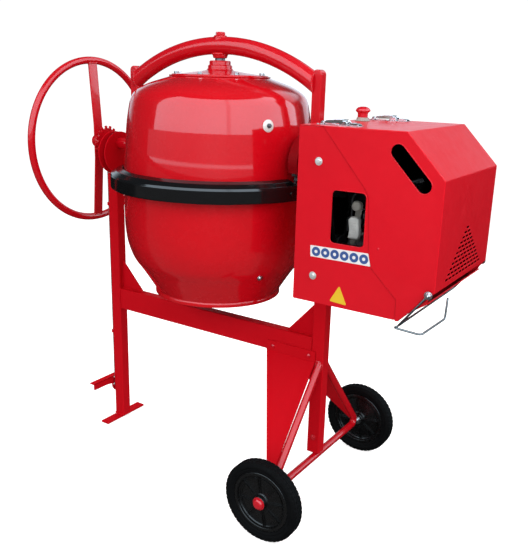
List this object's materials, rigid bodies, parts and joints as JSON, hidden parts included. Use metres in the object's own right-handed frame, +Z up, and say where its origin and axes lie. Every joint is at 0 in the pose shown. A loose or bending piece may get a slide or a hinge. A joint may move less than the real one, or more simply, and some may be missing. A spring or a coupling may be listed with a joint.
{
  "type": "concrete mixer",
  "caption": "Tilting-drum concrete mixer: geared drum in a tilting yoke, hand wheel with foot-pedal lock, engine under a hinged hood, frame on a foot plate and a wheeled axle.",
  "frame": {"origin": "on the floor, at the centre of the bounding box in X and Y", "axes": "+X towards the engine housing, +Y away from the foot pedal side, +Z up"},
  "size_m": [1.6966, 0.8524, 1.734],
  "materials": {
    "red_paint": "gloss",
    "housing_red": "satin powder coat",
    "red_plastic": "gloss",
    "black_plastic": "satin",
    "tyre_rubber": "matte",
    "zinc_steel": "zinc plated",
    "chrome": "bright",
    "cast_iron": "cast",
    "engine_alloy": "cast",
    "grey_plastic": "satin",
    "belt_rubber": "matte"
  },
  "bodies": {
    "frame": {"left_leg": "red_paint", "left_foot_plate": "red_paint", "left_head": "red_paint", "left_bearing": "zinc_steel", "right_leg": "red_paint", "right_bearing": "red_paint", "cross_beam": "red_paint", "left_gusset": "red_paint", "right_gusset": "red_paint", "axle_tube": "red_paint", "axle_rod": "zinc_steel", "brace_front": "red_paint", "brace_rear": "red_paint", "front_cap": "red_plastic", "rear_cap": "red_plastic", "drive_belt": "belt_rubber", "engine_block": "engine_alloy", "fuel_tank": "black_plastic", "muffler": "cast_iron", "air_filter": "black_plastic", "recoil_cover": "black_plastic", "engine_base": "housing_red", "side_panel_front": "housing_red", "side_panel_rear": "housing_red", "top_strip": "housing_red", "estop_base": "grey_plastic", "pedal_pin": "zinc_steel"},
    "yoke": {"left_side_bar": "red_paint", "right_side_bar": "red_paint", "arch_tube": "red_paint", "guard_front": "black_plastic", "guard_rear": "black_plastic", "notch_disc": "red_paint", "hand_wheel": "red_paint", "hub_shaft": "zinc_steel", "hub_nut": "zinc_steel"},
    "drum": {"drum_bowl": "red_paint", "drum_cone": "red_paint", "crown_gear": "cast_iron", "hub_flange": "red_paint", "blade_a": "zinc_steel", "blade_b": "zinc_steel"},
    "drive": {"drive_shaft": "zinc_steel", "pinion": "cast_iron", "large_pulley": "cast_iron"},
    "crank": {"crankshaft": "zinc_steel", "small_pulley": "cast_iron"},
    "front_wheel_set": {"front_wheel": "black_plastic", "front_tyre": "tyre_rubber"},
    "rear_wheel_set": {"rear_wheel": "black_plastic", "rear_tyre": "tyre_rubber"},
    "hood_body": {"hood": "housing_red"},
    "latch_front_lever": {"latch_front": "chrome"},
    "latch_rear_lever": {"latch_rear": "chrome"},
    "estop": {"estop_button": "red_plastic"},
    "pedal_body": {"pedal": "red_paint"},
    "lock_rod_body": {"lock_rod": "zinc_steel"},
    "bail": {"wire_bail": "zinc_steel"},
    "throttle": {"throttle_lever": "grey_plastic"},
    "starter": {"starter_grip": "engine_alloy"}
  },
  "joints": [
    {"name": "tilt", "type": "hinge", "parent": "frame", "child": "yoke", "pos_m": [-0.1447, 0, 1.29], "axis": [1, 0, 0], "range_deg": [-157.5, 157.5]},
    {"name": "drum_spin", "type": "hinge", "parent": "yoke", "child": "drum", "pos_m": [-0.1447, 0, 1.29], "axis": [0, 0, 1], "continuous": true},
    {"name": "drive_spin", "type": "hinge", "parent": "yoke", "child": "drive", "pos_m": [-0.1447, 0, 1.29], "axis": [1, 0, 0], "continuous": true},
    {"name": "crank_spin", "type": "hinge", "parent": "frame", "child": "crank", "pos_m": [-0.1447, 0, 1.01], "axis": [1, 0, 0], "continuous": true},
    {"name": "front_wheel_spin", "type": "hinge", "parent": "frame", "child": "front_wheel_set", "pos_m": [0.3513, -0.3847, 0.15], "axis": [0, 1, 0], "continuous": true},
    {"name": "rear_wheel_spin", "type": "hinge", "parent": "frame", "child": "rear_wheel_set", "pos_m": [0.3513, 0.3847, 0.15], "axis": [0, 1, 0], "continuous": true},
    {"name": "hood_hinge", "type": "hinge", "parent": "frame", "child": "hood_body", "pos_m": [0.8323, 0, 0.969], "axis": [0, 1, 0], "range_deg": [0, 100]},
    {"name": "latch_front_flip", "type": "hinge", "parent": "hood_body", "child": "latch_front_lever", "pos_m": [0.4893, -0.19, 1.4516], "axis": [0, 1, 0], "range_deg": [0, 110]},
    {"name": "latch_rear_flip", "type": "hinge", "parent": "hood_body", "child": "latch_rear_lever", "pos_m": [0.4893, 0.19, 1.4516], "axis": [0, 1, 0], "range_deg": [0, 110]},
    {"name": "estop_push", "type": "slide", "parent": "frame", "child": "estop", "axis": [0, 0, -1], "range_m": [0, 0.005], "stiffness_N_per_m": 1500},
    {"name": "pedal_press", "type": "hinge", "parent": "frame", "child": "pedal_body", "pos_m": [-0.7527, 0.016, 0.15], "axis": [1, 0, 0], "range_deg": [-28, 10]},
    {"name": "lock_rod_lift", "type": "slide", "parent": "frame", "child": "lock_rod_body", "axis": [0, 0, 1], "range_m": [-0.0043, 0.0118]},
    {"name": "bail_swing", "type": "hinge", "parent": "frame", "child": "bail", "pos_m": [0.8323, 0, 0.969], "axis": [0, 1, 0], "range_deg": [-80, 0]},
    {"name": "throttle_set", "type": "hinge", "parent": "frame", "child": "throttle", "pos_m": [0.5103, -0.11, 1.06], "axis": [0, 1, 0], "range_deg": [-12, 15]},
    {"name": "starter_pull", "type": "slide", "parent": "frame", "child": "starter", "axis": [0, -1, 0], "range_m": [0, 0.3]}
  ],
  "couplings": [
    {"joint": "drive_spin", "follows": "drum_spin", "ratio": 5.0526},
    {"joint": "crank_spin", "follows": "drum_spin", "ratio": 16.737},
    {"joint": "lock_rod_lift", "follows": "pedal_press", "m_per_rad": -0.024}
  ]
}
